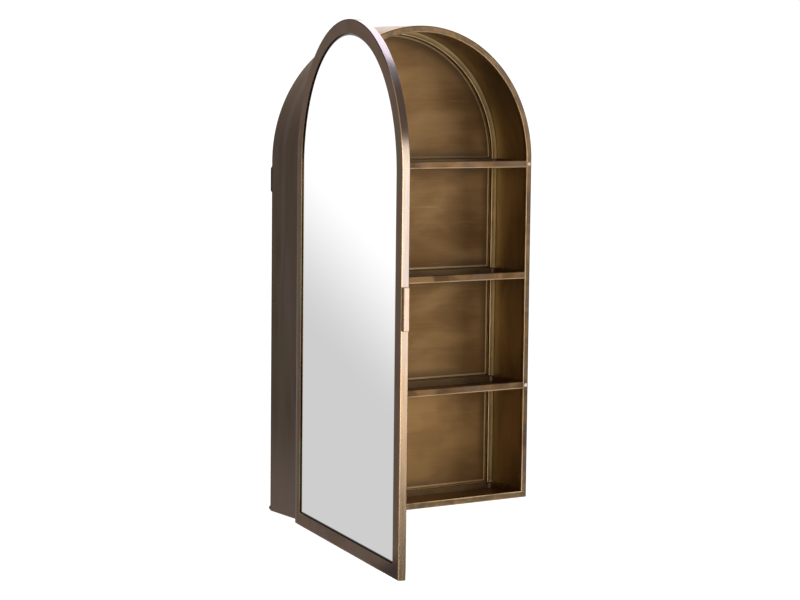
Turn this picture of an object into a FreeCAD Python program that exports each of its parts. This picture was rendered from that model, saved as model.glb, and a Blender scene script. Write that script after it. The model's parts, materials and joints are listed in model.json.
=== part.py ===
import FreeCAD, Part
import math
import os

os.makedirs("parts", exist_ok=True)

# An arched wall cabinet with a hinged mirror door, in millimetres.
# X runs to the right, Y into the wall and Z up. The wall is the plane Y = 0, and the origin lies
# midway between the two keyholes by which the cabinet hangs.

Vector = FreeCAD.Vector
UP = Vector(0, 0, 1)
INTO_WALL = Vector(0, 1, 0)
TO_RIGHT = Vector(1, 0, 0)

# Carcass, whose arch is half a circle over straight sides
width = 500.0
height = 900.0
carcass_depth = 121.0
wall_gap = 7.0
sheet = 1.5
outer_corner_radius = 3.0
inner_corner_radius = 1.5

# Front frame, a rectangular tube bent to the arch
frame_bar_width = 12.0
frame_bar_depth = 10.0
frame_edge_radius = 2.0
tube_wall = 1.5

# Rear frame, a flat tube that carries the back panel
rear_bar_width = 12.0
rear_bar_depth = 8.0

# Shelves, evenly spaced between the floor and the foot of the arch, which are pans with a flat rim
shelf_count = 3
band_height = 13.0
rear_rim_width = 8.0
shelf_edge_radius = 1.4

# Back panel with a raised field in each compartment
panel_sheet = 1.2
panel_clearance = 0.2
field_reveal = 3.2
field_raise = 1.2
field_corner_radius = 3.0

# Door
door_thickness = 14.0
door_gap = 1.0
door_open_angle = 101.0
stile_width = 24.0
lip_thickness = 2.0
door_wall = 1.5
door_edge_radius = 1.2
opening_corner_radius = 1.5
tape_thickness = 0.5
tape_setback = 1.0
tape_width = 7.0
glass_thickness = 4.0
glass_lap = 10.0
board_thickness = 5.5
board_border = 3.0
cover_sheet = 1.2
cover_clearance = 0.2

# Lugs and screws that hold the cover on the back of the door
lug_radius = 4.0
lug_spacing = 12.0
lug_arch_angles = (45.0, 135.0)
cover_screw_radius = 1.5
cover_screw_length = 7.0
cover_screw_head_radius = 2.9
cover_screw_head_height = 0.7

# Pull on the free edge of the door, with its two screws
pull_height = 70.0
pull_width = 9.8
pull_projection = 7.0
pull_setback = 2.3
pull_centre_height = 438.0
pull_edge_radius = 0.8
pull_screw_spacing = 44.0
pull_screw_radius = 1.5
pull_screw_head_radius = 2.6
pull_screw_head_height = 1.2
pull_screw_length = 6.0

# Hinges
hinge_length = 40.0
hinge_end_height = 120.0
hinge_sheet = 1.2
knuckle_radius = 2.5
hinge_pin_radius = 1.25
pin_clearance = 0.05
pin_head_radius = 2.0
pin_head_height = 1.0
hinge_clearance = 0.3
leaf_reach = 10.0
hinge_screw_spacing = 26.0
hinge_screw_radius = 1.4
hinge_screw_head_radius = 2.5
hinge_screw_length = 5.0

# Magnets in the right side of the front frame
magnet_radius = 3.5
magnet_thickness = 3.0
magnet_proud = 0.6
cup_wall = 1.0
cup_floor = 1.5

# Hangers behind the back panel
keyhole_below_arch = 34.0
keyhole_radius = 4.5
keyhole_slot_radius = 2.2
keyhole_slot_rise = 9.0
hanger_width = 16.0
hanger_inset = 1.5
hanger_sheet = 2.0
hanger_raised_length = 49.0
hanger_below_keyhole = 24.5
hanger_slope = 4.0
hanger_foot = 11.0
hanger_edge_radius = 1.0

# Screws through the back panel and through the hangers' feet
panel_screw_radius = 1.5
panel_screw_head_radius = 2.9
panel_screw_head_height = 1.6
panel_screw_length = 7.0
panel_screw_height_shares = (0.11, 0.42, 0.72)
panel_screw_arch_angles = (30.0, 60.0, 90.0, 120.0, 150.0)
panel_screw_floor_shares = (-0.5, 0.0, 0.5)

# Rubber bumpers at the lower back corners
bumper_radius = 5.0
bumper_tip_radius = 4.4
bumper_inset = 0.5
bumper_edge_radius = 0.8

# Recess in every screw head, as shares of the head's radius
recess_reach_share = 0.6
recess_width_share = 0.25

# How far a cutting tool runs past the faces that it cuts, and how closely places are compared
overrun = 2.0
place_limit = 0.002

# Planes and heights that follow from the sizes above
half_width = width / 2
spring_z = keyhole_below_arch
bottom_z = spring_z - (height - half_width)
back_y = -wall_gap
front_y = back_y - carcass_depth
frame_back_y = front_y + frame_bar_depth
panel_front_y = back_y - panel_sheet
rear_bar_front_y = panel_front_y - rear_bar_depth
floor_z = bottom_z + band_height
shelf_pitch = (spring_z - floor_z) / shelf_count
shelf_tops = [floor_z + shelf_pitch * (index + 1) for index in range(shelf_count)]


def export(node, shape):
    """Write one sub-part to its own file."""
    shape.exportStep("parts/" + node + ".step")


def box(low, high):
    """A block between two corners."""
    size = high - low
    return Part.makeBox(size.x, size.y, size.z, low)


def rod(radius, start, direction, length):
    """A round rod from a point along a direction."""
    return Part.makeCylinder(radius, length, start, direction)


def cut_all(shape, tools):
    """Cut each tool out of a shape."""
    for tool in tools:
        shape = shape.cut(tool)
    return shape


def edges_at_depth(shape, y):
    """The edges that lie wholly in one plane parallel to the wall."""
    return [
        edge
        for edge in shape.Edges
        if abs(edge.BoundBox.YMin - y) < place_limit and abs(edge.BoundBox.YMax - y) < place_limit
    ]


def outline(inset, floor_inset, corner_radius, y):
    """The closed arch outline, drawn in by an inset, in a plane parallel to the wall."""
    half = half_width - inset
    low = bottom_z + floor_inset
    side_start = low + corner_radius
    flat_half = half - corner_radius
    corner_cut = corner_radius * (1 - math.sqrt(0.5))
    right_foot = Vector(half, y, side_start)
    right_spring = Vector(half, y, spring_z)
    left_spring = Vector(-half, y, spring_z)
    left_foot = Vector(-half, y, side_start)
    left_floor = Vector(-flat_half, y, low)
    right_floor = Vector(flat_half, y, low)
    edges = [
        Part.LineSegment(right_foot, right_spring),
        Part.Arc(right_spring, Vector(0, y, spring_z + half), left_spring),
        Part.LineSegment(left_spring, left_foot),
        Part.Arc(left_foot, Vector(-half + corner_cut, y, low + corner_cut), left_floor),
        Part.LineSegment(left_floor, right_floor),
        Part.Arc(right_floor, Vector(half - corner_cut, y, low + corner_cut), right_foot),
    ]
    return Part.Wire([edge.toShape() for edge in edges])


def arch_plate(inset, floor_inset, corner_radius, y, depth):
    """A plate with the arch outline, from a plane at y and a depth towards the wall."""
    face = Part.Face(outline(inset, floor_inset, corner_radius, y))
    return face.extrude(INTO_WALL * depth)


def arch_ring(outer_inset, bar_width, floor_width, y, depth):
    """A solid hoop with the arch outline, of one width round the sides and another at the bottom."""
    inner_inset = outer_inset + bar_width
    inner_floor = outer_inset + floor_width
    ring = arch_plate(outer_inset, outer_inset, outer_corner_radius, y, depth)
    return ring.cut(
        arch_plate(inner_inset, inner_floor, inner_corner_radius, y - overrun, depth + 2 * overrun)
    )


def tube_bore(outer_inset, bar_width, floor_width, y, depth):
    """The space inside a hoop that is bent from tube."""
    return arch_ring(
        outer_inset + tube_wall,
        bar_width - 2 * tube_wall,
        floor_width - 2 * tube_wall,
        y + tube_wall,
        depth - 2 * tube_wall,
    )


def side_points(inset, heights, y):
    """Points on both sides at given heights."""
    half = half_width - inset
    return [Vector(side * half, y, z) for z in heights for side in (-1, 1)]


def arch_points(inset, angles, y):
    """Points over the arch, at angles from the right."""
    radius = half_width - inset
    turns = [math.radians(angle) for angle in angles]
    return [Vector(radius * math.cos(turn), y, spring_z + radius * math.sin(turn)) for turn in turns]


def cross_recess(seat, head_radius, depth):
    """A cross that is cut into a screw head on the wall side of its seat."""
    reach = head_radius * recess_reach_share
    half = head_radius * recess_width_share / 2
    slot = box(
        Vector(seat.x - reach, seat.y - depth, seat.z - half),
        Vector(seat.x + reach, seat.y + overrun, seat.z + half),
    )
    cross = slot.copy()
    cross.rotate(seat, INTO_WALL, 90)
    return slot.fuse(cross)


def pan_screw(seat, radius, head_radius, head_height, length):
    """A screw that points away from the wall, with its head on the wall side of its seat."""
    head = rod(head_radius, seat, INTO_WALL, head_height)
    head = head.makeFillet(head_height / 2, edges_at_depth(head, seat.y + head_height))
    shank = rod(radius, seat, -INTO_WALL, length)
    crown = seat + INTO_WALL * head_height
    return head.fuse(shank).cut(cross_recess(crown, head_radius, head_height / 2)).removeSplitter()


# Front frame with the places of the magnets
magnet_x = half_width - frame_bar_width / 2
magnet_front_y = front_y - magnet_proud
magnet_places = [Vector(magnet_x, magnet_front_y, top - band_height / 2) for top in shelf_tops[::2]]


def magnet_space(place):
    """The round space that a magnet fills."""
    return rod(magnet_radius, place, INTO_WALL, magnet_thickness)


def magnet(place):
    """A round magnet with a softened front edge."""
    disc = magnet_space(place)
    return disc.makeFillet(magnet_proud / 2, edges_at_depth(disc, place.y))


def magnet_cup(place):
    """The steel cup that holds a magnet behind the frame's face."""
    start = Vector(place.x, front_y + tube_wall, place.z)
    length = place.y + magnet_thickness + cup_floor - start.y
    cup = rod(magnet_radius + cup_wall, start, INTO_WALL, length)
    return cup.cut(magnet_space(place))


def front_frame():
    """The tube hoop that the door closes on."""
    hoop = arch_ring(0, frame_bar_width, band_height, front_y, frame_bar_depth)
    inner_back = [
        edge
        for edge in edges_at_depth(hoop, frame_back_y)
        if max(abs(edge.BoundBox.XMin), edge.BoundBox.XMax) < half_width - frame_bar_width / 2
    ]
    hoop = hoop.makeFillet(frame_edge_radius, edges_at_depth(hoop, front_y) + inner_back)
    hoop = hoop.cut(tube_bore(0, frame_bar_width, band_height, front_y, frame_bar_depth))
    hoop = cut_all(hoop, [magnet_space(place) for place in magnet_places])
    return cut_all(hoop, [hinge_screw_space(seat) for seat in hinge_screw_seats(cabinet_screw_y)])


def side_shell():
    """The sheet round the sides, the arch and the underside."""
    depth = back_y - frame_back_y
    shell = arch_plate(0, 0, outer_corner_radius, frame_back_y, depth)
    shell = shell.makeFillet(sheet / 2, edges_at_depth(shell, back_y))
    return shell.cut(
        arch_plate(sheet, sheet, inner_corner_radius, frame_back_y - overrun, depth + 2 * overrun)
    )


# Rear frame, back panel and the screws that hold them together
rear_floor_width = band_height - sheet
panel_screw_inset = sheet + rear_bar_width / 2


def panel_screw_seats():
    """Where the screw heads sit on the back of the panel."""
    rise = spring_z - bottom_z
    heights = [bottom_z + rise * share for share in panel_screw_height_shares]
    seats = side_points(panel_screw_inset, heights, back_y)
    seats += arch_points(panel_screw_inset, panel_screw_arch_angles, back_y)
    z = bottom_z + panel_screw_inset
    return seats + [Vector(half_width * share, back_y, z) for share in panel_screw_floor_shares]


def rear_screw_holes(radius):
    """Round holes for every screw that enters the rear frame."""
    length = panel_screw_length + overrun
    return [
        rod(radius, Vector(seat.x, back_y - panel_screw_length, seat.z), INTO_WALL, length)
        for seat in panel_screw_seats() + hanger_screw_seats()
    ]


def rear_frame():
    """The flat tube hoop that carries the back panel."""
    hoop = arch_ring(sheet, rear_bar_width, rear_floor_width, rear_bar_front_y, rear_bar_depth)
    hoop = hoop.common(arch_plate(sheet, sheet, inner_corner_radius, rear_bar_front_y, rear_bar_depth))
    hoop = hoop.cut(tube_bore(sheet, rear_bar_width, rear_floor_width, rear_bar_front_y, rear_bar_depth))
    return cut_all(hoop, rear_screw_holes(panel_screw_radius))


def field_levels():
    """Lowest and highest level of the raised field of each compartment."""
    floors = [floor_z] + shelf_tops
    ceilings = [top - band_height for top in shelf_tops] + [spring_z + half_width]
    return [(low + field_reveal, high - field_reveal) for low, high in zip(floors, ceilings)]


def field_block(inset, low, high, y, depth):
    """A block between two levels and inside the arch, with rounded corners."""
    slab = box(Vector(-width, y - overrun, low), Vector(width, y + depth + overrun, high))
    block = arch_plate(inset, 0, outer_corner_radius, y, depth).common(slab)
    corners = [
        edge
        for edge in block.Edges
        if edge.BoundBox.YLength > depth / 2
        and min(abs(edge.BoundBox.ZMin - low), abs(edge.BoundBox.ZMin - high)) < place_limit
    ]
    return block.makeFillet(field_corner_radius, corners)


def back_panel():
    """The pressed sheet at the back, whose fields are raised to the front and hollow behind."""
    inset = sheet + panel_clearance
    panel = arch_plate(inset, inset, inner_corner_radius, panel_front_y, panel_sheet)
    field_inset = sheet + rear_bar_width + field_reveal
    raised_y = panel_front_y - field_raise
    hollow_y = raised_y + panel_sheet
    hollows = []
    for low, high in field_levels():
        field = field_block(field_inset, low, high, raised_y, panel_sheet)
        panel = panel.fuse(field.makeFillet(field_raise / 2, edges_at_depth(field, raised_y)))
        hollows.append(
            field_block(
                field_inset + panel_sheet,
                low + panel_sheet,
                high - panel_sheet,
                hollow_y,
                field_raise + overrun,
            )
        )
    panel = cut_all(panel.removeSplitter(), hollows)
    return cut_all(panel, rear_screw_holes(panel_screw_radius + panel_clearance))


# Floor and shelves, whose rims end at the side walls and whose wells line up with the rear frame
rim_half = half_width - sheet
well_half = rim_half - rear_bar_width
well_back_y = rear_bar_front_y - rear_rim_width


def pan(low, top):
    """A shallow pan with a flat rim, open to the bar along its front."""
    rim = box(Vector(-rim_half, frame_back_y, top - sheet), Vector(rim_half, rear_bar_front_y, top))
    walls = box(
        Vector(-well_half - sheet, frame_back_y, low),
        Vector(well_half + sheet, well_back_y + sheet, top),
    )
    well = box(
        Vector(-well_half, frame_back_y, low + sheet),
        Vector(well_half, well_back_y, top + overrun),
    )
    return rim.fuse(walls).cut(well)


def shelf(top):
    """A pan shelf with a tube along its front and a ledge that reaches the back panel."""
    low = top - band_height
    band_half = half_width - frame_bar_width
    bar = box(Vector(-band_half, front_y, low), Vector(band_half, frame_back_y, top))
    bore = box(
        Vector(-width, front_y + tube_wall, low + tube_wall),
        Vector(width, frame_back_y - tube_wall, top - tube_wall),
    )
    ledge = box(
        Vector(-well_half, rear_bar_front_y, top - sheet),
        Vector(well_half, panel_front_y, top),
    )
    joined = pan(low, top).fuse([bar.cut(bore), ledge]).removeSplitter()
    rims = [edge for edge in edges_at_depth(joined, front_y) if edge.BoundBox.XLength > band_half]
    return joined.makeFillet(shelf_edge_radius, rims)


# Hangers and bumpers
hanger_low = -hanger_below_keyhole
hanger_high = hanger_low + hanger_raised_length
hanger_centre_x = half_width - hanger_inset - hanger_width / 2
hanger_foot_y = back_y + hanger_sheet


def hanger_screw_seats():
    """Where the screws sit on the feet of both hangers."""
    x = half_width - panel_screw_inset
    heights = (hanger_low - hanger_foot / 2, hanger_high + hanger_foot / 2)
    return [Vector(side * x, hanger_foot_y, z) for side in (-1, 1) for z in heights]


def keyhole(x):
    """The space that a keyhole takes: a round hole with a slot above it."""
    start = Vector(x, -hanger_sheet - overrun, 0)
    length = hanger_sheet + 2 * overrun
    hole = rod(keyhole_radius, start, INTO_WALL, length)
    slot = box(
        Vector(x - keyhole_slot_radius, start.y, 0),
        Vector(x + keyhole_slot_radius, start.y + length, keyhole_slot_rise),
    )
    slot_end = rod(keyhole_slot_radius, start + UP * keyhole_slot_rise, INTO_WALL, length)
    return hole.fuse([slot, slot_end])


def hanger(side):
    """A pressed steel strap that stands off the back, with a keyhole in its middle."""
    x = side * hanger_centre_x
    half = hanger_width / 2
    profile = [
        (back_y, hanger_low - hanger_foot),
        (hanger_foot_y, hanger_low - hanger_foot),
        (hanger_foot_y, hanger_low),
        (0, hanger_low + hanger_slope),
        (0, hanger_high - hanger_slope),
        (hanger_foot_y, hanger_high),
        (hanger_foot_y, hanger_high + hanger_foot),
        (back_y, hanger_high + hanger_foot),
        (back_y, hanger_high - hanger_sheet),
        (-hanger_sheet, hanger_high - hanger_slope - hanger_sheet),
        (-hanger_sheet, hanger_low + hanger_slope + hanger_sheet),
        (back_y, hanger_low + hanger_sheet),
    ]
    corners = [Vector(x - half, y, z) for y, z in profile]
    strap = Part.Face(Part.makePolygon(corners + corners[:1])).extrude(TO_RIGHT * hanger_width)
    shoulders = [edge for edge in edges_at_depth(strap, 0) if edge.BoundBox.XLength > half]
    strap = strap.makeFillet(hanger_edge_radius, shoulders)
    radius = panel_screw_radius + panel_clearance
    length = hanger_sheet + 2 * overrun
    holes = [
        rod(radius, seat - INTO_WALL * (hanger_sheet + overrun), INTO_WALL, length)
        for seat in hanger_screw_seats()
    ]
    return cut_all(strap, holes + [keyhole(x)])


def rear_screws(seats):
    """Equal screws that are driven into the rear frame, longer where they pass a hanger's foot."""
    screws = [
        pan_screw(
            seat,
            panel_screw_radius,
            panel_screw_head_radius,
            panel_screw_head_height,
            panel_screw_length + seat.y - back_y,
        )
        for seat in seats
    ]
    return Part.makeCompound(screws)


def wall_bumper(side):
    """A rubber bumper between the lower corner of the back and the wall."""
    reach = half_width - bumper_inset - bumper_radius
    base = Vector(side * reach, back_y, bottom_z + bumper_inset + bumper_radius)
    dome = Part.makeCone(bumper_radius, bumper_tip_radius, wall_gap, base, INTO_WALL)
    return dome.makeFillet(bumper_edge_radius, edges_at_depth(dome, 0))


# Hinges, whose leaves lie on the side of the cabinet and on the edge of the door
hinge_x = -half_width - knuckle_radius - hinge_clearance
hinge_y = front_y - door_gap / 2
hinge_heights = {"lower": bottom_z + hinge_end_height, "upper": spring_z - hinge_end_height}
leaf_outer_x = -half_width - hinge_sheet
leaf_near = knuckle_radius + hinge_clearance
hinge_screw_reach = (leaf_near + leaf_reach) / 2
cabinet_screw_y = hinge_y + hinge_screw_reach
door_screw_y = hinge_y - hinge_screw_reach
knuckle_length = hinge_length / 3
fixed_knuckles = [(0, knuckle_length), (2 * knuckle_length, hinge_length)]
moving_knuckles = [(knuckle_length + hinge_clearance, 2 * knuckle_length - hinge_clearance)]


def hinge_screw_seats(y):
    """Where the countersunk heads sit, on the outer face of the leaves."""
    offsets = (-hinge_screw_spacing / 2, hinge_screw_spacing / 2)
    return [Vector(leaf_outer_x, y, z + offset) for z in hinge_heights.values() for offset in offsets]


def hinge_screw_space(seat):
    """The space that a countersunk screw takes."""
    cone_depth = hinge_screw_head_radius - hinge_screw_radius
    head = Part.makeCone(hinge_screw_head_radius, hinge_screw_radius, cone_depth, seat, TO_RIGHT)
    return head.fuse(rod(hinge_screw_radius, seat, TO_RIGHT, hinge_screw_length))


def countersunk_screw(seat):
    """A countersunk screw that points to the right."""
    recess = cross_recess(seat, hinge_screw_head_radius, hinge_sheet / 2)
    recess.rotate(seat, UP, 90)
    return hinge_screw_space(seat).cut(recess).removeSplitter()


def hinge_leaf(z, turn_side, knuckle_spans, bore_radius):
    """A hinge leaf: a plate beside the gap, with its knuckles on the hinge axis."""
    low = z - hinge_length / 2
    near = hinge_y + turn_side * leaf_near
    far = hinge_y + turn_side * leaf_reach
    leaf = box(
        Vector(leaf_outer_x, min(near, far), low),
        Vector(-half_width, max(near, far), low + hinge_length),
    )
    for start, end in knuckle_spans:
        web = box(
            Vector(leaf_outer_x, min(hinge_y, near), low + start),
            Vector(-half_width, max(hinge_y, near), low + end),
        )
        barrel = rod(knuckle_radius, Vector(hinge_x, hinge_y, low + start), UP, end - start)
        leaf = leaf.fuse([web, barrel])
    bore = rod(bore_radius, Vector(hinge_x, hinge_y, low - overrun), UP, hinge_length + 2 * overrun)
    screw_y = hinge_y + turn_side * hinge_screw_reach
    spaces = [hinge_screw_space(seat) for seat in hinge_screw_seats(screw_y)]
    return cut_all(leaf.removeSplitter(), spaces + [bore])


def cabinet_leaf(z):
    """The fixed leaf of a hinge, whose two outer knuckles grip the pin."""
    return hinge_leaf(z, 1, fixed_knuckles, hinge_pin_radius)


def door_leaf(z):
    """The moving leaf of a hinge, whose middle knuckle runs on the pin."""
    return hinge_leaf(z, -1, moving_knuckles, hinge_pin_radius + pin_clearance)


def hinge_pin(z):
    """A hinge pin with a small head at each end."""
    low = Vector(hinge_x, hinge_y, z - hinge_length / 2)
    high = low + UP * hinge_length
    pin = rod(hinge_pin_radius, low, UP, hinge_length)
    heads = [rod(pin_head_radius, low, -UP, pin_head_height), rod(pin_head_radius, high, UP, pin_head_height)]
    return pin.fuse(heads).removeSplitter()


# Door, drawn shut and layered from its face towards the cabinet
door_back_y = front_y - door_gap
door_front_y = door_back_y - door_thickness
tape_front_y = door_front_y + lip_thickness
glass_front_y = tape_front_y + tape_thickness
board_front_y = glass_front_y + glass_thickness
cover_front_y = board_front_y + board_thickness
glass_inset = stile_width - glass_lap
board_inset = glass_inset - board_border
lug_inset = door_wall + lug_radius
pull_low = bottom_z + pull_centre_height - pull_height / 2
pull_front_y = door_front_y + pull_setback
lug_low = hinge_heights["lower"] - hinge_length / 2 - lug_spacing
lug_high = hinge_heights["upper"] + hinge_length / 2 + lug_spacing
hinge_side_lug_heights = (lug_low, (lug_low + lug_high) / 2, lug_high)
pull_side_lug_heights = (lug_low, pull_low - lug_spacing, pull_low + pull_height + lug_spacing)


def open_door(shape):
    """Turn a piece of the shut door to where the door stands open."""
    opened = shape.copy()
    opened.rotate(Vector(hinge_x, hinge_y, 0), UP, -door_open_angle)
    return opened


def pull_screw_seats():
    """Where the heads of the pull's screws sit, inside the free edge of the door."""
    middle = Vector(half_width - door_wall, pull_front_y + pull_width / 2, pull_low + pull_height / 2)
    return [middle - UP * pull_screw_spacing / 2, middle + UP * pull_screw_spacing / 2]


def pull_screw_holes():
    """Round holes for the pull's screws, through the door's edge and into the pull."""
    return [
        rod(pull_screw_radius, seat - TO_RIGHT * overrun, TO_RIGHT, pull_screw_length + overrun)
        for seat in pull_screw_seats()
    ]


def door_frame():
    """The frame of the door: a deep edge wall and a wide face with a lip over the glass."""
    frame = arch_plate(0, 0, outer_corner_radius, door_front_y, door_thickness)
    rims = edges_at_depth(frame, door_front_y) + edges_at_depth(frame, door_back_y)
    frame = frame.makeFillet(door_edge_radius, rims)
    inside = arch_plate(door_wall, door_wall, inner_corner_radius, tape_front_y, door_thickness)
    window = arch_plate(
        stile_width, stile_width, opening_corner_radius, door_front_y - overrun, door_thickness
    )
    hinge_holes = [hinge_screw_space(seat) for seat in hinge_screw_seats(door_screw_y)]
    return cut_all(frame, [inside, window] + hinge_holes + pull_screw_holes())


def mirror_tape():
    """The thin ring of tape between the lip and the glass."""
    inner = stile_width - tape_setback
    outer = inner - tape_width
    return arch_ring(outer, tape_width, tape_width, tape_front_y, tape_thickness)


def mirror_glass():
    """The mirror, which the lip of the frame overlaps all round."""
    return arch_plate(glass_inset, glass_inset, outer_corner_radius, glass_front_y, glass_thickness)


def backing_board():
    """The board that presses the glass against the lip."""
    return arch_plate(board_inset, board_inset, outer_corner_radius, board_front_y, board_thickness)


def lug_places():
    """Where the cover's screws go: clear of the hinges, clear of the pull and over the arch."""
    half = half_width - lug_inset
    places = [Vector(-half, cover_front_y, z) for z in hinge_side_lug_heights]
    places += [Vector(half, cover_front_y, z) for z in pull_side_lug_heights]
    return places + arch_points(lug_inset, lug_arch_angles, cover_front_y)


def cover_lug(place):
    """A round lug on the inside of the frame that a cover screw enters."""
    lug = rod(lug_radius, Vector(place.x, tape_front_y, place.z), INTO_WALL, cover_front_y - tape_front_y)
    return lug.cut(rod(cover_screw_radius, place, -INTO_WALL, cover_screw_length))


def door_back_cover():
    """The sheet that closes the back of the door."""
    inset = door_wall + cover_clearance
    cover = arch_plate(inset, inset, inner_corner_radius, cover_front_y, cover_sheet)
    radius = cover_screw_radius + cover_clearance
    length = cover_sheet + 2 * overrun
    holes = [rod(radius, place - INTO_WALL * overrun, INTO_WALL, length) for place in lug_places()]
    return cut_all(cover, holes)


def cover_screw(place):
    """A flat-headed screw through the cover into its lug."""
    return pan_screw(
        place + INTO_WALL * cover_sheet,
        cover_screw_radius,
        cover_screw_head_radius,
        cover_screw_head_height,
        cover_screw_length,
    )


def edge_pull():
    """The bar on the free edge of the door."""
    bar = box(
        Vector(half_width, pull_front_y, pull_low),
        Vector(half_width + pull_projection, pull_front_y + pull_width, pull_low + pull_height),
    )
    outer = [edge for edge in bar.Edges if edge.BoundBox.XMin > half_width + pull_projection / 2]
    return cut_all(bar.makeFillet(pull_edge_radius, outer), pull_screw_holes())


def pull_screw(seat):
    """A screw through the door's edge into the pull."""
    screw = pan_screw(
        seat,
        pull_screw_radius,
        pull_screw_head_radius,
        pull_screw_head_height,
        pull_screw_length,
    )
    screw.rotate(seat, UP, 90)
    return screw


# The cabinet
export("front_frame", front_frame())
export("side_shell", side_shell())
export("rear_frame", rear_frame())
export("back_panel", back_panel())
export("back_panel_screws", rear_screws(panel_screw_seats()))
export("floor_panel", pan(bottom_z + sheet, floor_z))
for shelf_name, top in zip(("shelf_lower", "shelf_middle", "shelf_upper"), shelf_tops):
    export(shelf_name, shelf(top))
export("door_magnets", Part.makeCompound([magnet(place) for place in magnet_places]))
export("magnet_cups", Part.makeCompound([magnet_cup(place) for place in magnet_places]))
export("hanger_screws", rear_screws(hanger_screw_seats()))
for side_name, side in (("left", -1), ("right", 1)):
    export("hanger_" + side_name, hanger(side))
    export("wall_bumper_" + side_name, wall_bumper(side))

# The hinges
for hinge_name, z in hinge_heights.items():
    export(hinge_name + "_hinge_cabinet_leaf", cabinet_leaf(z))
    export(hinge_name + "_hinge_pin", hinge_pin(z))
    export(hinge_name + "_hinge_door_leaf", open_door(door_leaf(z)))
fixed_screws = [countersunk_screw(seat) for seat in hinge_screw_seats(cabinet_screw_y)]
moving_screws = [countersunk_screw(seat) for seat in hinge_screw_seats(door_screw_y)]
export("cabinet_hinge_screws", Part.makeCompound(fixed_screws))
export("door_hinge_screws", open_door(Part.makeCompound(moving_screws)))

# The door
export("door_frame", open_door(door_frame()))
export("mirror_tape", open_door(mirror_tape()))
export("mirror_glass", open_door(mirror_glass()))
export("backing_board", open_door(backing_board()))
export("cover_lugs", open_door(Part.makeCompound([cover_lug(place) for place in lug_places()])))
export("door_back_cover", open_door(door_back_cover()))
export("cover_screws", open_door(Part.makeCompound([cover_screw(place) for place in lug_places()])))
export("edge_pull", open_door(edge_pull()))
export("pull_screws", open_door(Part.makeCompound([pull_screw(seat) for seat in pull_screw_seats()])))
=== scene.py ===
import json
import math

import bmesh
import bpy
from mathutils import Matrix, Vector


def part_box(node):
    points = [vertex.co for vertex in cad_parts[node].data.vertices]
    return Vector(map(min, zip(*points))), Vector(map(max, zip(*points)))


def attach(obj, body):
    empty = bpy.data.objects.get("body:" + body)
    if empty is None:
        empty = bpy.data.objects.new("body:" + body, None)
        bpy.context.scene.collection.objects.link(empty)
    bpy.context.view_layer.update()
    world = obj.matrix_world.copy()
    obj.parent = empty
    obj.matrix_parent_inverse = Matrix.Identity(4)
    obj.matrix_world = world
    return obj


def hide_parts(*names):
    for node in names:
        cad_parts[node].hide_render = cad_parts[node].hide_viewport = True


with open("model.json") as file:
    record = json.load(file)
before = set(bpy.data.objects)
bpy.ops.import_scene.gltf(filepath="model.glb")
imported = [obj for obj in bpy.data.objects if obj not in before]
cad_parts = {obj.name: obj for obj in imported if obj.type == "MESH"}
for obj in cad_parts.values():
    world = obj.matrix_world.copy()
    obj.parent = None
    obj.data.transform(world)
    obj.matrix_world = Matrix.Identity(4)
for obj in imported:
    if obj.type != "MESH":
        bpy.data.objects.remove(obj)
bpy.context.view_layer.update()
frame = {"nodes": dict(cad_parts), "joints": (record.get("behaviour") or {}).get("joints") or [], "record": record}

# Places of the cabinet, taken from its frame, in metres
shell_low, shell_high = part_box("side_shell")
half_width = shell_high.x
bottom_z = shell_low.z
spring_z = shell_high.z - half_width
frame_back_y = shell_low.y
back_y = shell_high.y
front_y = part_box("front_frame")[0].y
rear_front_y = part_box("rear_frame")[0].y
rear_back_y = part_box("rear_frame")[1].y
shelf_names = ("shelf_lower", "shelf_middle", "shelf_upper")
shelf_boxes = {name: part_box(name) for name in shelf_names}
shelf_tops = {name: box[1].z for name, box in shelf_boxes.items()}
floor_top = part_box("floor_panel")[1].z
hinge = frame["joints"][0]
hinge_axis = Vector(hinge["pos_m"])
door_turn = math.radians(hinge["range_deg"][1])

# Sizes of the bars and sheets, as the construction has them
sheet = 0.0015
bar_width = 0.012
band_height = 0.013
rear_rim_width = 0.008
ledge_depth = 0.008
bar_edge_radius = 0.002
band_edge_radius = 0.0014
rolled_edge_radius = 0.0007
outer_corner_radius = 0.003
inner_corner_radius = 0.0015
field_reveal = 0.0032
door_gap = 0.001
door_thickness = 0.014
door_edge_radius = 0.0012
door_wall = 0.0015
lip_thickness = 0.002
stile_width = 0.024
door_front_y = front_y - door_gap - door_thickness
rim_half = half_width - sheet
well_half = rim_half - bar_width
well_back_y = rear_front_y - rear_rim_width

# How finely curves are divided, and how closely places are compared
arch_steps = 96
round_steps = 4
sheet_edge_steps = 3
fold_edge_steps = 2
near = 0.00001
sharp_turn = math.radians(40)
smooth_turn = math.radians(35)

# Weld beads where the foot of the rear hoop meets each pan
bead_length = 0.008
bead_radius = 0.0014
bead_sides = 10
bead_ripples = 4
bead_end_share = 0.35
bead_neck_share = 0.8

# Camera, as the photograph was taken
camera_place = (-2.2632, -3.5473, 0.1795)
camera_yaw = 32.961
camera_pitch = -5.601
camera_roll = 0.626
camera_lens = 99.86
camera_sensor = 36.0

# Studio floor
floor_drop = 0.5
floor_radius = 1.6
floor_roughness = 0.9
floor_gloss = 0.1
floor_glow = 0.6

# Room in the reflections, whose pale wall behind turns grey below a slanted line of directions
room_grey = 0.45
wall_white = 1.12
wall_grey = 0.655
wall_behind = (0.55, 0.85)
wall_line_height = 0.097
wall_line_slope = 1.11
wall_line_blur = 0.047
left_grey = 0.42
left_side = (-0.5, -0.3)
upper_right_glow = 1.2
glow_heights = (0.08, 0.3)
glow_side = (0.0, 0.35)
ceiling_glow = 0.06
ceiling_heights = (0.25, 0.8)
backdrop_white = 1.1

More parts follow.
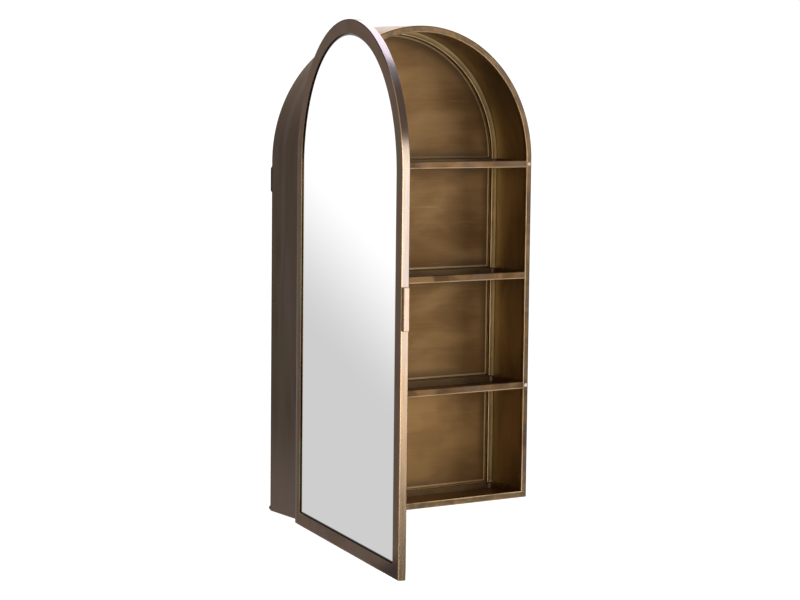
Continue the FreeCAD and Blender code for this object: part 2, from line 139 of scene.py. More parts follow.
# Softboxes: place, target, width and height, brightness and tint
plain_light = (1.0, 1.0, 1.0)
cool_light = (0.95, 0.94, 1.0)
softboxes = {
    "key_softbox": ((0.25, -3.1, 0.08), (0, 0, 0), (1.1, 1.9), 5.4, plain_light),
    "fill_softbox": ((2.3, -2.9, 0.2), (0, 0, 0), (1.4, 2.2), 1.1, plain_light),
    "side_softbox": ((-2.8, -4.3, 0.6), (0, 0, 0), (2.0, 2.0), 3.0, plain_light),
    "top_softbox": ((1.4, 0.9, 2.6), (0.2, -0.2, 0.3), (2.8, 3.2), 4.5, cool_light),
}


# Places on the arch


def same(first, second):
    """Whether two lengths are the same, as closely as places are compared."""
    return abs(first - second) < near


def arch_depth(place):
    """How far a place lies inside the arch outline, measured from its sides and its arch."""
    return half_width - math.hypot(place.x, max(place.z - spring_z, 0.0))


def outline_depth(place):
    """How far a place lies inside the whole outline, its bottom edge too."""
    return min(arch_depth(place), place.z - bottom_z)


# Modelling by hand


def clear_selection():
    """Deselect every object."""
    bpy.ops.object.select_all(action="DESELECT")


def start_piece(name):
    """Name the primitive that was just added, put its place in its mesh and open it for editing."""
    piece = bpy.context.active_object
    piece.name = name
    bpy.ops.object.transform_apply(location=True, rotation=True, scale=True)
    bpy.ops.object.mode_set(mode="EDIT")
    return piece


def pick(kind, test, sharp=False):
    """Select only the vertices, edges or faces whose corners all pass a test, or only the sharp edges."""
    bpy.ops.mesh.select_mode(type=kind)
    bpy.ops.mesh.select_all(action="DESELECT")
    mesh = bpy.context.edit_object.data
    shape = bmesh.from_edit_mesh(mesh)
    if kind == "VERT":
        passed = [vertex for vertex in shape.verts if test(vertex.co)]
    else:
        elements = shape.edges if kind == "EDGE" else shape.faces
        passed = [element for element in elements if all(test(vertex.co) for vertex in element.verts)]
    if sharp:
        passed = [edge for edge in passed if edge.calc_face_angle(0.0) > sharp_turn]
    for element in passed:
        element.select_set(True)
    shape.select_flush_mode()
    bmesh.update_edit_mesh(mesh)


def extrude(x=0.0, y=0.0, z=0.0):
    """Extrude what is selected."""
    bpy.ops.mesh.extrude_region_move(TRANSFORM_OT_translate={"value": (x, y, z)})


def round_edges(test, radius, steps=round_steps):
    """Round the sharp edges whose ends pass a test."""
    pick("EDGE", test, sharp=True)
    bpy.ops.mesh.bevel(offset=radius, segments=steps, affect="EDGES")


def close_mesh():
    """Merge doubles and turn every face outwards."""
    bpy.ops.mesh.select_all(action="SELECT")
    bpy.ops.mesh.remove_doubles(threshold=near)
    bpy.ops.mesh.normals_make_consistent(inside=False)


def cut(place, direction):
    """Cut the whole mesh along the plane through a place that faces a direction."""
    bpy.ops.mesh.select_all(action="SELECT")
    bpy.ops.mesh.bisect(plane_co=place, plane_no=direction)


def apply_modifier(piece, name, kind, **settings):
    """Add a modifier to a piece, set it up and apply it."""
    modifier = piece.modifiers.new(name, kind)
    for setting, value in settings.items():
        setattr(modifier, setting, value)
    bpy.ops.object.modifier_apply(modifier=modifier.name)


def finish_piece(piece, body, slot, *nodes):
    """Leave editing, shade the piece, and let it ride on a body in place of its construction nodes."""
    bpy.ops.object.mode_set(mode="OBJECT")
    bpy.ops.object.shade_smooth_by_angle(angle=smooth_turn)
    apply_modifier(piece, "even_shading", "WEIGHTED_NORMAL", keep_sharp=True)
    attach(piece, body)
    if nodes:
        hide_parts(*nodes)
    return piece


def arch_sheet(name, inset, y):
    """A flat sheet with the arch outline, drawn in by an inset, in a plane parallel to the wall."""
    clear_selection()
    bpy.ops.mesh.primitive_circle_add(
        vertices=2 * arch_steps,
        radius=half_width - inset,
        location=(0, y, spring_z),
        rotation=(math.pi / 2, 0, 0),
    )
    piece = start_piece(name)
    pick("VERT", lambda place: place.z < spring_z - near)
    bpy.ops.mesh.delete(type="VERT")
    pick("VERT", lambda place: place.z < spring_z + near)
    bpy.ops.mesh.extrude_vertices_move(
        TRANSFORM_OT_translate={"value": (0, 0, bottom_z + inset - spring_z)}
    )
    bpy.ops.mesh.select_all(action="SELECT")
    bpy.ops.mesh.edge_face_add()
    return piece


def round_corners(inset, floor_inset, radius):
    """Round the two lower corners of a hoop along its depth."""
    x = half_width - inset
    z = bottom_z + floor_inset
    round_edges(lambda place: same(abs(place.x), x) and same(place.z, z), radius)


def round_opening(y, radius):
    """Round the edge of a bar hoop's opening that lies in one plane parallel to the wall."""
    middle = bar_width / 2
    round_edges(lambda place: same(place.y, y) and outline_depth(place) > middle, radius)


def arch_hoop(name, inset, width, floor_width, y, depth):
    """A hoop with the arch outline, of one width round the sides and another at the bottom."""
    piece = arch_sheet(name, inset, y)
    bpy.ops.mesh.inset(thickness=width, use_even_offset=True)
    bpy.ops.mesh.delete(type="ONLY_FACE")
    inner_low = bottom_z + inset + width
    inner_half = half_width - inset - width
    pick("VERT", lambda place: same(place.z, inner_low) and abs(place.x) < inner_half + near)
    bpy.ops.transform.translate(value=(0, 0, floor_width - width))
    bpy.ops.mesh.select_all(action="SELECT")
    extrude(y=depth)
    close_mesh()
    round_corners(inset, inset, outer_corner_radius)
    round_corners(inset + width, inset + floor_width, inner_corner_radius)
    return piece


def front_hoop():
    """The tube that the door closes on, with rounded front edges and a rounded inner back edge."""
    depth = frame_back_y - front_y
    piece = arch_hoop("front_hoop", 0.0, bar_width, band_height, front_y, depth)
    round_edges(lambda place: same(place.y, front_y), bar_edge_radius)
    round_opening(frame_back_y, bar_edge_radius)
    return finish_piece(piece, "cabinet", "patina_metal", "front_frame")


def wrap():
    """The sheet round the sides, the arch and the underside, with a softened back edge."""
    depth = back_y - frame_back_y
    piece = arch_hoop("side_wrap", 0.0, sheet, sheet, frame_back_y, depth)
    round_edges(lambda place: same(place.y, back_y), sheet / 2 - near, sheet_edge_steps)
    return finish_piece(piece, "cabinet", "patina_metal", "side_shell")


def rear_hoop():
    """The flat tube that carries the back panel, with a rolled inner edge."""
    depth = rear_back_y - rear_front_y
    piece = arch_hoop("rear_hoop", sheet, bar_width, band_height - sheet, rear_front_y, depth)
    round_opening(rear_front_y, rolled_edge_radius)
    return finish_piece(piece, "cabinet", "inner_metal", "rear_frame")


def turn_open(piece):
    """Turn a piece that was modelled on the shut door to where the door stands at rest."""
    bpy.ops.object.mode_set(mode="OBJECT")
    to_axis = Matrix.Translation(hinge_axis)
    piece.matrix_world = to_axis @ Matrix.Rotation(-door_turn, 4, "Z") @ to_axis.inverted()
    bpy.ops.object.transform_apply(location=True, rotation=True, scale=True)


def door_hoop():
    """The frame of the door: a deep edge wall behind a wide face with a lip over the glass."""
    piece = arch_sheet("door_hoop", 0.0, door_front_y)
    bpy.ops.mesh.inset(thickness=door_wall, use_even_offset=True)
    bpy.ops.mesh.inset(thickness=stile_width - door_wall, use_even_offset=True)
    bpy.ops.mesh.delete(type="ONLY_FACE")
    bpy.ops.mesh.select_all(action="SELECT")
    extrude(y=lip_thickness)
    lip_back_y = door_front_y + lip_thickness
    wall_limit = door_wall + near
    pick("FACE", lambda place: same(place.y, lip_back_y) and outline_depth(place) < wall_limit)
    extrude(y=door_thickness - lip_thickness)
    close_mesh()
    # The face is one flat ring, so the line of the wall behind it is taken off it
    pick("EDGE", lambda place: same(place.y, door_front_y) and same(outline_depth(place), door_wall))
    bpy.ops.mesh.dissolve_edges(use_verts=True)
    round_corners(0.0, 0.0, outer_corner_radius)
    round_corners(door_wall, door_wall, outer_corner_radius - door_wall)
    round_corners(stile_width, stile_width, inner_corner_radius)
    # Outer edges lie no deeper than the rounded corners dip, and the wall's inner side lies deeper
    corner_dip = outer_corner_radius * (1 - math.cos(math.pi / 4))
    outline_reach = (corner_dip + door_wall) / 2
    for y in (door_front_y, door_front_y + door_thickness):
        round_edges(
            lambda place: same(place.y, y) and outline_depth(place) < outline_reach,
            door_edge_radius,
        )
    turn_open(piece)
    return finish_piece(piece, "door", "patina_metal", "door_frame")


def pan(name, top, depth):
    """A pan of folded sheet: a flat rim round a well that is open to the bar along its front."""
    clear_selection()
    bpy.ops.mesh.primitive_plane_add(size=1.0, location=(0, (frame_back_y + rear_front_y) / 2, top))
    bpy.context.active_object.scale = (2 * rim_half, rear_front_y - frame_back_y, 1.0)
    piece = start_piece(name)
    for x in (-well_half, well_half):
        cut((x, 0, top), (1, 0, 0))
    cut((0, well_back_y, top), (0, 1, 0))
    pick("FACE", lambda place: abs(place.x) < well_half + near and place.y < well_back_y + near)
    extrude(z=sheet - depth)
    pick("FACE", lambda place: place.y < frame_back_y + near)
    bpy.ops.mesh.delete(type="ONLY_FACE")
    return piece


def face_up():
    """Turn the faces of an open pan so that those of its rim point up."""
    bpy.ops.mesh.select_all(action="SELECT")
    bpy.ops.mesh.normals_make_consistent(inside=False)
    shape = bmesh.from_edit_mesh(bpy.context.edit_object.data)
    rim = max(shape.faces, key=lambda face: face.calc_center_median().z)
    if rim.normal.z < 0:
        bpy.ops.mesh.flip_normals()


def fold(piece):
    """Give a pan the thickness of its sheet, below its top faces, and roll its edges."""
    face_up()
    bpy.ops.object.mode_set(mode="OBJECT")
    apply_modifier(
        piece,
        "sheet",
        "SOLIDIFY",
        solidify_mode="NON_MANIFOLD",
        nonmanifold_thickness_mode="CONSTRAINTS",
        thickness=sheet,
        offset=-1.0,
    )
    apply_modifier(
        piece,
        "rolled_edges",
        "BEVEL",
        width=rolled_edge_radius / 2,
        segments=fold_edge_steps,
        limit_method="ANGLE",
        angle_limit=sharp_turn,
    )


def front_band(name, low, high):
    """The tube along the front of a shelf, with rounded front edges."""
    clear_selection()
    middle_y = (front_y + frame_back_y) / 2
    bpy.ops.mesh.primitive_cube_add(size=1.0, location=(0, middle_y, (low + high) / 2))
    bpy.context.active_object.scale = (2 * (half_width - bar_width), frame_back_y - front_y, high - low)
    piece = start_piece(name)
    round_edges(lambda place: same(place.y, front_y), band_edge_radius)
    bpy.ops.object.mode_set(mode="OBJECT")
    return piece


def join(first, second):
    """Join a second piece into a first one."""
    clear_selection()
    second.select_set(True)
    first.select_set(True)
    bpy.context.view_layer.objects.active = first
    bpy.ops.object.join()


def shelf(name):
    """A pan shelf with a tube along its front and a ledge that reaches the back panel."""
    low = shelf_boxes[name][0].z
    top = shelf_tops[name]
    piece = pan(name + "_pan", top, top - low)
    pick("EDGE", lambda place: place.y > rear_front_y - near and abs(place.x) < well_half + near)
    extrude(y=ledge_depth)
    fold(piece)
    join(piece, front_band(name + "_band", low, top))
    return finish_piece(piece, "cabinet", "patina_metal", name)


def floor_pan():
    """The floor of the cabinet, a pan like the shelves' behind the bottom bar."""
    piece = pan("floor_pan", floor_top, floor_top - bottom_z - sheet)
    fold(piece)
    return finish_piece(piece, "cabinet", "inner_metal", "floor_panel")


def weld_bead(name, side, z):
    """A short rippled bead in the corner between the foot of the rear hoop and a pan's rim."""
    clear_selection()
    middle = side * (rim_half - bead_length / 2)
    start = middle - bead_length / 2
    bpy.ops.mesh.primitive_cylinder_add(
        vertices=bead_sides,
        radius=bead_radius,
        depth=bead_length,
        location=(middle, rear_front_y, z),
        rotation=(0, math.pi / 2, 0),
    )
    piece = start_piece(name)
    ripple = bead_length / bead_ripples
    for index in range(1, 2 * bead_ripples):
        cut((start + index * ripple / 2, 0, 0), (1, 0, 0))
    for index in range(bead_ripples + 1):
        x = start + index * ripple
        pick("VERT", lambda place: same(place.x, x))
        share = bead_end_share if index in (0, bead_ripples) else bead_neck_share
        bpy.ops.transform.resize(value=(1, share, share))
    close_mesh()
    return finish_piece(piece, "cabinet", "steel")


# Shader maths


class Wire:
    """A shader socket that takes part in Python sums."""

    def __init__(self, paint, socket):
        self.paint = paint
        self.socket = socket

    def __add__(self, other):
        return self.paint.sum("ADD", self, other)

    def __radd__(self, other):
        return self.paint.sum("ADD", other, self)

    def __sub__(self, other):
        return self.paint.sum("SUBTRACT", self, other)

    def __rsub__(self, other):
        return self.paint.sum("SUBTRACT", other, self)

    def __mul__(self, other):
        return self.paint.sum("MULTIPLY", self, other)

    def __rmul__(self, other):
        return self.paint.sum("MULTIPLY", other, self)


class Paint:
    """A node tree, its shader and the nodes that mix its finish."""

    def __init__(self, tree, shader_name="Principled BSDF"):
        self.tree = tree
        self.shader = tree.nodes[shader_name]

    def node(self, kind, settings=None, sockets=None):
        """Add a node, set it up and fill its sockets with values or wires."""
        made = self.tree.nodes.new(kind)
        for name, value in (settings or {}).items():
            setattr(made, name, value)
        for name, value in (sockets or {}).items():
            self.fill(made.inputs[name], value)
        return made

    def fill(self, socket, value):
        """Link a wire to a socket, or set the socket's own value."""
        if isinstance(value, Wire):
            self.tree.links.new(value.socket, socket)
        else:
            socket.default_value = value

    def wire(self, node, result=0):
        """One result of a node."""
        return Wire(self, node.outputs[result])

    def sum(self, operation, *values):
        """A sum on numbers."""
        settings = {"operation": operation}
        return self.wire(self.node("ShaderNodeMath", settings, dict(enumerate(values))))

    def places(self):
        """Object coordinates, in metres."""
        return self.wire(self.node("ShaderNodeTexCoord"), "Object")

    def shut_places(self):
        """Object coordinates of a door piece, turned to where the door is shut."""
        turn = Matrix.Rotation(door_turn, 3, "Z")
        move = hinge_axis - turn @ hinge_axis
        sockets = {"Vector": self.places(), "Location": move, "Rotation": (0, 0, door_turn)}
        return self.wire(self.node("ShaderNodeMapping", {"vector_type": "POINT"}, sockets))

    def split(self, places):
        """The three coordinates of a place."""
        node = self.node("ShaderNodeSeparateXYZ", None, {"Vector": places})
        return [self.wire(node, axis) for axis in "XYZ"]

    def scaled(self, places, x=1.0, y=1.0, z=1.0):
        """Places that are scaled along each axis."""
        settings = {"operation": "MULTIPLY"}
        return self.wire(self.node("ShaderNodeVectorMath", settings, {0: places, 1: (x, y, z)}))

    def noise(self, places, scale, detail=3.0, roughness=0.5, distortion=0.0):
        """Cloudy noise from 0 to 1."""
        sockets = {
            "Vector": places,
            "Scale": scale,
            "Detail": detail,
            "Roughness": roughness,
            "Distortion": distortion,
        }
        return self.wire(self.node("ShaderNodeTexNoise", None, sockets))

    def fade(self, value, start, end, low=0.0, high=1.0):
        """A soft step from low, at a start value, to high, at an end value."""
        sockets = {"Value": value, "From Min": start, "From Max": end, "To Min": low, "To Max": high}
        return self.wire(
            self.node("ShaderNodeMapRange", {"interpolation_type": "SMOOTHSTEP"}, sockets)
        )

    def line(self, value, middle, reach):
        """A soft line that is 1 at a middle value and 0 from a reach away."""
        return self.fade(self.sum("ABSOLUTE", value - middle), 0.0, reach, 1.0, 0.0)

    def blend(self, share, first, second):
        """A mix of two colours."""
        settings = {"data_type": "RGBA"}
        return self.wire(
            self.node("ShaderNodeMix", settings, {"Factor": share, 6: first, 7: second}), 2
        )

    def bump(self, height, strength, depth):
        """A surface that is pushed out by a height."""
        sockets = {"Height": height, "Strength": strength, "Distance": depth}
        return self.wire(self.node("ShaderNodeBump", None, sockets))

    def set(self, **sockets):
        """Set or link the shader's own sockets, named with an underscore for a space."""
        for name, value in sockets.items():
            self.fill(self.shader.inputs[name.replace("_", " ")], value)


def new_finish(name):
    """A new material and the paint that mixes it."""
    material = bpy.data.materials.new(name)
    material.use_nodes = True
    return material, Paint(material.node_tree)


def colour(red, green, blue):
    """A colour with full cover."""
    return (red, green, blue, 1.0)


def darker(tone, share):
    """A tone with a share of its brightness."""
    return colour(*[part * share for part in tone[:3]])


# Tones that several finishes share
highlight_gold = colour(0.52, 0.36, 0.2)
edge_highlight_gold = colour(0.66, 0.48, 0.27)
lilac_brown = colour(0.175, 0.128, 0.11)
orange_brown = colour(0.34, 0.19, 0.085)
# A near black that paints shade: in grooves, gaps and hollows, along edges and on faces turned from the light
painted_shade_black = colour(0.012, 0.008, 0.006)
white = colour(1.0, 1.0, 1.0)
floor_white = colour(0.8, 0.8, 0.8)

# Tints of the metals where they are seen at a grazing angle
brass_edge = colour(1.0, 0.86, 0.74)
bronze_edge = colour(1.0, 0.88, 0.82)
dark_bronze_edge = colour(0.64, 0.6, 0.58)

# Tones of the hoops and the wrap
hoop_dark = colour(0.112, 0.07, 0.037)
hoop_light = colour(0.19, 0.121, 0.064)
hoop_fleck = colour(0.27, 0.19, 0.085)
wrap_dark = colour(0.055, 0.034, 0.022)
wrap_light = colour(0.075, 0.053, 0.032)
wrap_lilac = colour(0.09, 0.065, 0.058)
wrap_olive = colour(0.073, 0.062, 0.035)
wrap_pale_foot = colour(0.135, 0.102, 0.084)
wrap_inner_dark = colour(0.24, 0.172, 0.08)
wrap_inner_light = colour(0.42, 0.305, 0.152)
wrap_inner_shade = colour(0.09, 0.052, 0.012)
rear_dark = colour(0.44, 0.29, 0.135)
rear_light = colour(0.68, 0.47, 0.24)
rear_olive = colour(0.56, 0.45, 0.13)
rear_speck = colour(0.66, 0.56, 0.34)
rear_groove_shade = colour(0.1, 0.06, 0.03)
rear_highlight = colour(0.85, 0.66, 0.4)
rear_highlight_cream = colour(0.8, 0.68, 0.42)

# Tones of the raised fields and the pans
field_dark = colour(0.147, 0.079, 0.031)
field_light = colour(0.24, 0.141, 0.061)
field_warm = colour(0.36, 0.2, 0.075)
field_scratch = colour(0.32, 0.21, 0.1)
field_shade = colour(0.075, 0.056, 0.04)
field_gleam = colour(0.95, 0.73, 0.42)
band_dark = colour(0.093, 0.052, 0.024)
band_light = colour(0.154, 0.089, 0.041)
pan_dark = colour(0.13, 0.085, 0.044)
pan_light = colour(0.25, 0.165, 0.083)
pan_corner_highlight = colour(0.5, 0.42, 0.36)

# Tones of the door
edge_golden_dark = colour(0.154, 0.105, 0.064)
edge_golden_light = colour(0.21, 0.147, 0.093)
edge_cream_dark = colour(0.18, 0.141, 0.111)
edge_cream_light = colour(0.215, 0.173, 0.142)
edge_cream_grey = colour(0.17, 0.14, 0.133)
edge_violet_dark = colour(0.12, 0.078, 0.052)
edge_violet_light = colour(0.18, 0.125, 0.105)
edge_lilac_dark = colour(0.175, 0.152, 0.168)
edge_lilac_light = colour(0.22, 0.194, 0.212)
face_dark = colour(0.103, 0.067, 0.046)
face_light = colour(0.146, 0.094, 0.063)
face_rose = colour(0.15, 0.092, 0.078)
face_olive = colour(0.11, 0.092, 0.06)
face_hinge_highlight = colour(0.2, 0.158, 0.152)
face_dark_corner = colour(0.014, 0.009, 0.008)
corner_highlight_gold = colour(0.6, 0.4, 0.22)
lip_highlight_gold = colour(0.5, 0.3, 0.13)
lip_highlight_olive = colour(0.36, 0.31, 0.15)
silver = colour(0.93, 0.932, 0.928)
cover_dark = colour(0.05, 0.034, 0.024)
cover_light = colour(0.085, 0.06, 0.042)
pull_dark = colour(0.2, 0.144, 0.106)
pull_light = colour(0.27, 0.203, 0.156)

# Tones of the small parts
tape_black = colour(0.012, 0.012, 0.012)
board_brown = colour(0.3, 0.22, 0.14)
screw_grey = colour(0.42, 0.36, 0.28)
hanger_black = colour(0.02, 0.018, 0.016)
magnet_silver = colour(0.78, 0.68, 0.6)
rubber_black = colour(0.02, 0.02, 0.02)
weld_pale = colour(0.75, 0.6, 0.45)

# Brushed grain: how fine and how drawn out its strokes are, and how sharply it turns at a corner
stroke_scale = 320.0
stroke_stretch = 0.06
fine_scale = 1600.0
fine_stretch = 0.04
fine_depth = 0.0003
mitre_blur = 0.0001

# From where to where in their noise the tones, patches and breaks in a line change
tone_contrast = (0.36, 0.64)
patch_contrast = (0.44, 0.68)
break_contrast = (0.3, 0.6)


# Finishes: a range is a pair of a start and an end, and a line is a pair of a middle and a reach


def arch_reach(paint, x, z):
    """How far a place lies from the middle line or the arch's centre, and how high above the spring."""
    rise = paint.sum("MAXIMUM", z - spring_z, 0.0)
    return paint.sum("SQRT", x * x + rise * rise), rise


def hoop_grain(paint, places):
    """How deep a place lies in a bent bar, and its brushed grain: across, through and along the bar."""
    x, y, z = paint.split(places)
    reach, rise = arch_reach(paint, x, z)
    depth = half_width - reach
    low = z - bottom_z
    on_bottom = paint.fade(depth - low, -mitre_blur, mitre_blur)
    on_side = paint.sum("MINIMUM", z, spring_z) + half_width * paint.sum("ARCTAN2", rise, x)
    along = on_side + on_bottom * (x - on_side)
    across = paint.sum("MINIMUM", depth, low)
    grain = paint.wire(paint.node("ShaderNodeCombineXYZ", None, {"X": across, "Y": y, "Z": along}))
    return across, grain


def brushed(paint, places, grain, dark, light, cloud_scale, stroke_share):
    """Patinated brass that was brushed along its grain: its tone, and the clouds and strokes in it."""
    clouds = paint.noise(places, cloud_scale, distortion=0.4)
    strokes = paint.noise(paint.scaled(grain, z=stroke_stretch), stroke_scale, roughness=0.6)
    tone = paint.fade(clouds * (1 - stroke_share) + strokes * stroke_share, *tone_contrast)
    return paint.blend(tone, dark, light), clouds, strokes


def mottled(paint, places, tone, tint, scale, most):
    """A tone with soft patches of a tint."""
    patches = paint.noise(places, scale, detail=2.0, distortion=0.5)
    return paint.blend(paint.fade(patches, *patch_contrast, high=most), tone, tint)


def painted_shade(paint, tone, depth, start, end, most):
    """A tone darkened by painted shade up to a start depth and left as it is from an end depth."""
    return paint.blend(paint.fade(depth, start, end, low=most, high=0.0), tone, painted_shade_black)


def uneven(paint, pattern, least, most):
    """A share that goes from a least to a most with the strokes or clouds of a pattern."""
    return paint.fade(pattern, *break_contrast, low=least, high=most)


def brass(paint, tone, clouds, strokes, grain, rough, edge_tint=brass_edge, relief=0.1):
    """Set up the shader for patinated brass with a fine brushed grain."""
    fine = paint.noise(paint.scaled(grain, z=fine_stretch), fine_scale, detail=2.0)
    paint.set(
        Base_Color=tone,
        Metallic=1.0,
        Roughness=rough + clouds * 0.1 + strokes * 0.08,
        Specular_Tint=edge_tint,
        Normal=paint.bump(fine * 0.6 + strokes * 0.4, relief, fine_depth),
    )


def front_hoop_finish():
    """Mottled brown brass with a painted highlight, partly wear, along its inner edge, and painted shade along its
    outer edge and on its straight legs.
    """
    outer_edge = (0.0004, 0.003)
    inner_edge_highlight_line = (bar_width - 0.0006, 0.0013)
    front_face = (front_y + 0.002, front_y + 0.004)
    below_arch = (spring_z + 0.08, spring_z - 0.05)
    above_foot = (bottom_z + 0.02, bottom_z + 0.12)
    material, paint = new_finish("front_hoop_brass")
    places = paint.places()
    y, z = paint.split(places)[1:]
    across, grain = hoop_grain(paint, places)
    tone, clouds, strokes = brushed(
        paint, places, grain, hoop_dark, hoop_light, cloud_scale=12.0, stroke_share=0.3
    )
    tone = mottled(paint, places, tone, lilac_brown, scale=15.0, most=0.5)
    tone = mottled(paint, places, tone, orange_brown, scale=22.0, most=0.45)
    tone = mottled(paint, places, tone, hoop_fleck, scale=75.0, most=0.5)
    upright = paint.fade(z, *below_arch) * paint.fade(z, *above_foot)
    # Painted shade: darker on the straight legs between the arch and the foot
    tone = paint.blend(upright * 0.25, tone, painted_shade_black)
    # Painted shade along the outer edge
    tone = painted_shade(paint, tone, across, *outer_edge, most=0.6)
    # A painted highlight, partly wear, along the rounded inner edge, strongest on the front face
    worn_highlight = paint.line(across, *inner_edge_highlight_line) * uneven(paint, strokes, 0.25, 0.7)
    on_front = paint.fade(y, *front_face, low=1.0, high=0.2)
    tone = paint.blend(worn_highlight * on_front, tone, edge_highlight_gold)
    brass(paint, tone, clouds, strokes, grain, rough=0.26)
    return material


def wrap_finish():
    """Dark bronze outside, paler towards its foot, with painted shade on the underside and along the back edge,
    and warm olive brown inside, with painted shade up under the arch and low in the lowest compartment.
    """
    pale_foot = (bottom_z + 0.2, bottom_z + 0.03)
    underside = (bottom_z + 0.001, bottom_z + 0.004)
    back_edge_line = (back_y, 0.004)
    arch_shade = (spring_z + 0.04, spring_z + 0.14)
    lowest_wall = (floor_top + 0.2, floor_top + 0.14)
    inner_face = (sheet * 0.3, sheet * 0.7)
    material, paint = new_finish("wrap_bronze")
    places = paint.places()
    y, z = paint.split(places)[1:]
    across, grain = hoop_grain(paint, places)
    upright = paint.scaled(places, z=0.35)
    bands = paint.scaled(grain, z=0.1)
    outer, clouds, strokes = brushed(
        paint, upright, grain, wrap_dark, wrap_light, cloud_scale=14.0, stroke_share=0.25
    )
    outer = mottled(paint, bands, outer, wrap_lilac, scale=26.0, most=0.8)
    outer = mottled(paint, bands, outer, wrap_olive, scale=34.0, most=0.7)
    outer = paint.blend(paint.fade(z, *pale_foot, high=0.75), outer, wrap_pale_foot)
    # Painted shade on the underside
    outer = painted_shade(paint, outer, z, *underside, most=0.9)
    # Painted shade along the back edge
    outer = paint.blend(paint.line(y, *back_edge_line) * 0.55, outer, painted_shade_black)
    inner = brushed(
        paint, upright, grain, wrap_inner_dark, wrap_inner_light, cloud_scale=12.0, stroke_share=0.25
    )[0]
    # Painted shade inside: growing up under the arch, and on the walls low in the lowest compartment
    inner = paint.blend(paint.fade(z, *arch_shade, low=0.08, high=0.42), inner, painted_shade_black)
    inner = paint.blend(paint.fade(z, *lowest_wall, high=0.3), inner, wrap_inner_shade)
    inside = paint.fade(across, *inner_face)
    tone = paint.blend(inside, outer, inner)
    brass(paint, tone, clouds, strokes, grain, rough=0.27 + inside * 0.1, edge_tint=bronze_edge)
    return material


def rear_hoop_finish():
    """Mottled golden face with painted highlights along its edges, a painted shade line, painted shade where it
    meets the wall, and painted shadow on the side at the gap.
    """
    edge = sheet + bar_width
    inner_side = (edge - 0.0004, edge - 0.0001)
    behind_roll = (rear_front_y + 0.0008, rear_front_y + 0.0016)
    back_of_side = (rear_front_y + 0.0045, rear_front_y + 0.0056)
    groove_line = (edge - 0.003, 0.0016)
    inner_line = (edge - 0.0008, 0.0016)
    outer_line = (sheet + 0.0034, 0.0032)
    outer_corner = (sheet + 0.0008, sheet + 0.002)
    material, paint = new_finish("rear_hoop_brass")
    places = paint.places()
    y = paint.split(places)[1]
    across, grain = hoop_grain(paint, places)
    tone, clouds, strokes = brushed(
        paint, places, grain, rear_dark, rear_light, cloud_scale=30.0, stroke_share=0.45
    )
    tone = mottled(paint, places, tone, rear_olive, scale=90.0, most=0.7)
    dust = paint.noise(places, 420.0, detail=2.0, roughness=0.6)
    tone = paint.blend(paint.fade(dust, 0.56, 0.7, high=0.45), tone, rear_speck)
    # Painted shadow on the inner side behind the rolled edge, at the gap
    shadow = paint.fade(across, *inner_side) * paint.fade(y, *behind_roll)
    deep = paint.fade(y, *back_of_side, low=1.0, high=0.2)
    tone = paint.blend(shadow * deep, tone, painted_shade_black)
    # A painted shade line along a groove
    tone = paint.blend(paint.line(across, *groove_line) * 0.5, tone, rear_groove_shade)
    # Painted highlights along the rolled inner edge and near the outer side
    edge_highlight = paint.line(across, *inner_line) * (1 - shadow)
    tone = paint.blend(edge_highlight * uneven(paint, strokes, 0.65, 1.0), tone, rear_highlight)
    tone = paint.blend(paint.line(across, *outer_line) * 0.7, tone, rear_highlight_cream)
    # Painted shade where the face meets the wall
    tone = painted_shade(paint, tone, across, *outer_corner, most=0.6)
    brass(paint, tone, clouds, strokes, grain, rough=0.38)
    return material


def field_depths(paint, x, z):
    """How far a place lies inside the sides of its raised field, and inside its level edges."""
    from_side = well_half - field_reveal - arch_reach(paint, x, z)[0]
    from_level = z - floor_top - field_reveal
    for top in shelf_tops.values():
        to_band = paint.sum("ABSOLUTE", z - (top - band_height / 2)) - band_height / 2
        from_level = paint.sum("MINIMUM", from_level, to_band - field_reveal)
    return from_side, from_level


